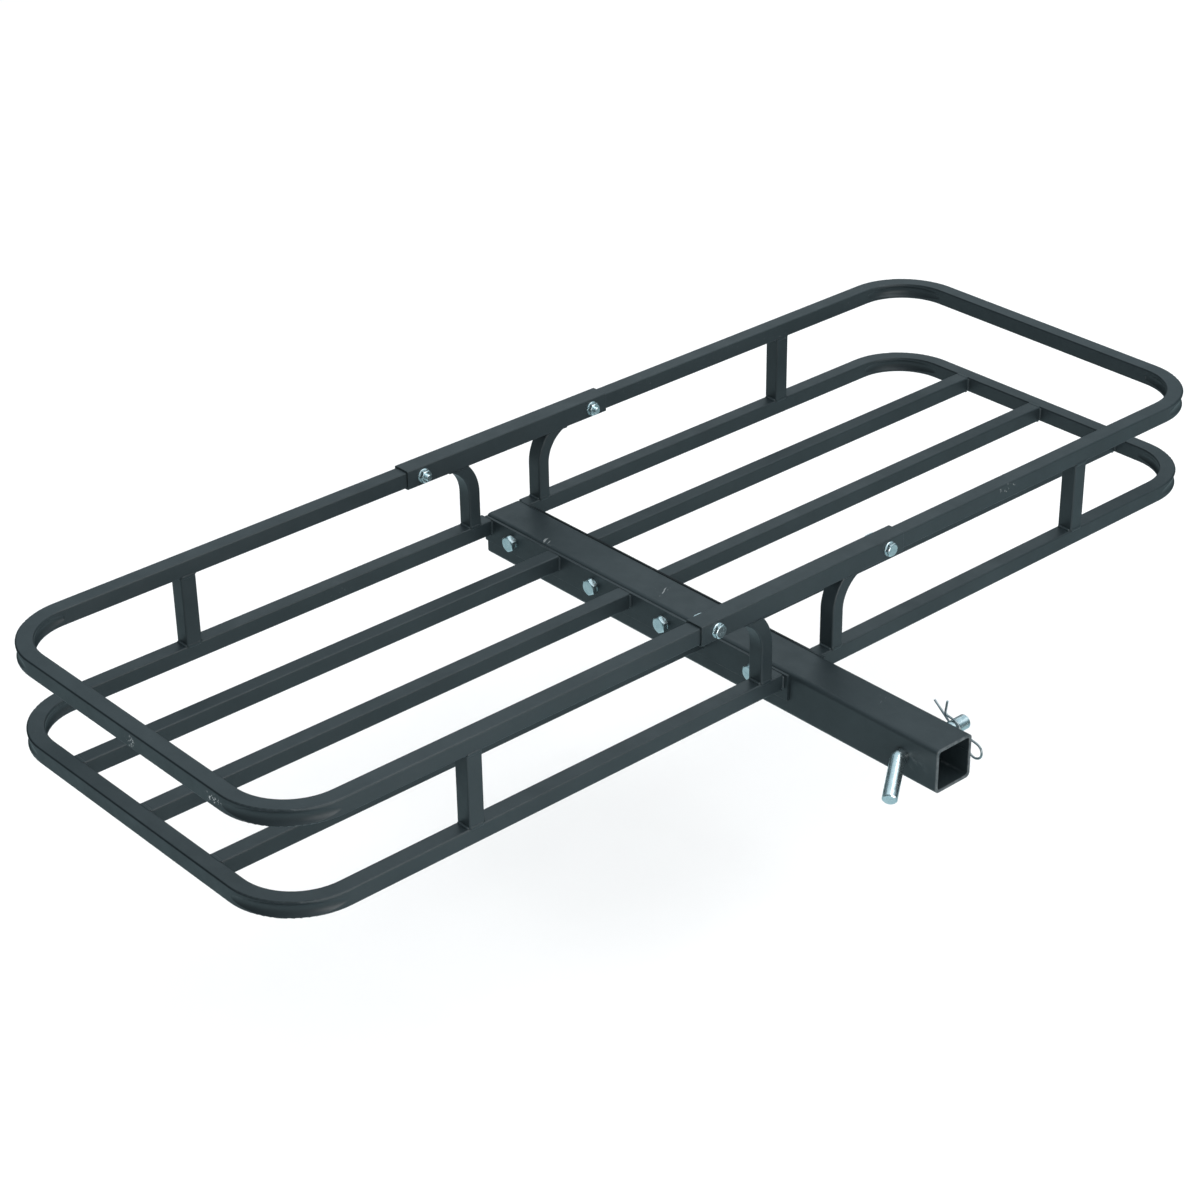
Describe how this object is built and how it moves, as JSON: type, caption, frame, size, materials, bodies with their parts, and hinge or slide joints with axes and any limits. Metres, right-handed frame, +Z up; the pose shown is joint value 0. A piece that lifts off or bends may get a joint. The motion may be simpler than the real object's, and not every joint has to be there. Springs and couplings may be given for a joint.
{
  "type": "hitch cargo carrier",
  "caption": "Bolt-together cargo basket of square tube on a square shank that slides into a vehicle hitch receiver and is held by a bent pin with a spring clip.",
  "frame": {"origin": "centre of the square shank on the axis of its hitch pin", "axes": "+X along the basket towards the pin's clip, +Y from the hitch mouth along the shank away from the vehicle, +Z up"},
  "size_m": [1.346, 0.7089, 0.1519],
  "materials": {
    "black_powder_coat": "satin powder coat",
    "zinc_plated_steel": "bright zinc plating"
  },
  "bodies": {
    "carrier": {"shank_tube": "black_powder_coat", "left_side_plate": "black_powder_coat", "right_side_plate": "black_powder_coat", "left_lower_rail": "black_powder_coat", "right_lower_rail": "black_powder_coat", "left_front_deck_bar": "black_powder_coat", "left_centre_deck_bar": "black_powder_coat", "left_rear_deck_bar": "black_powder_coat", "right_front_deck_bar": "black_powder_coat", "right_centre_deck_bar": "black_powder_coat", "right_rear_deck_bar": "black_powder_coat", "left_upper_rail": "black_powder_coat", "right_upper_rail": "black_powder_coat", "left_front_post": "black_powder_coat", "left_rear_post": "black_powder_coat", "right_front_post": "black_powder_coat", "right_rear_post": "black_powder_coat", "front_sleeve": "black_powder_coat", "rear_sleeve": "black_powder_coat", "left_front_leg": "black_powder_coat", "left_rear_leg": "black_powder_coat", "right_front_leg": "black_powder_coat", "right_rear_leg": "black_powder_coat", "frame_bolts": "zinc_plated_steel", "frame_lock_washers": "zinc_plated_steel", "frame_nuts": "zinc_plated_steel", "rail_bolts": "zinc_plated_steel", "rail_nuts": "zinc_plated_steel"},
    "pin": {"hitch_pin": "zinc_plated_steel"},
    "clip": {"pin_clip": "zinc_plated_steel"}
  },
  "joints": [
    {"name": "pin_pull", "type": "slide", "parent": "carrier", "child": "pin", "axis": [-1, 0, 0], "range_m": [0, 0.023]},
    {"name": "clip_pull", "type": "slide", "parent": "pin", "child": "clip", "axis": [0, -0.7771, -0.6293], "range_m": [0, 0.045], "deforming": ["pin_clip"]}
  ]
}
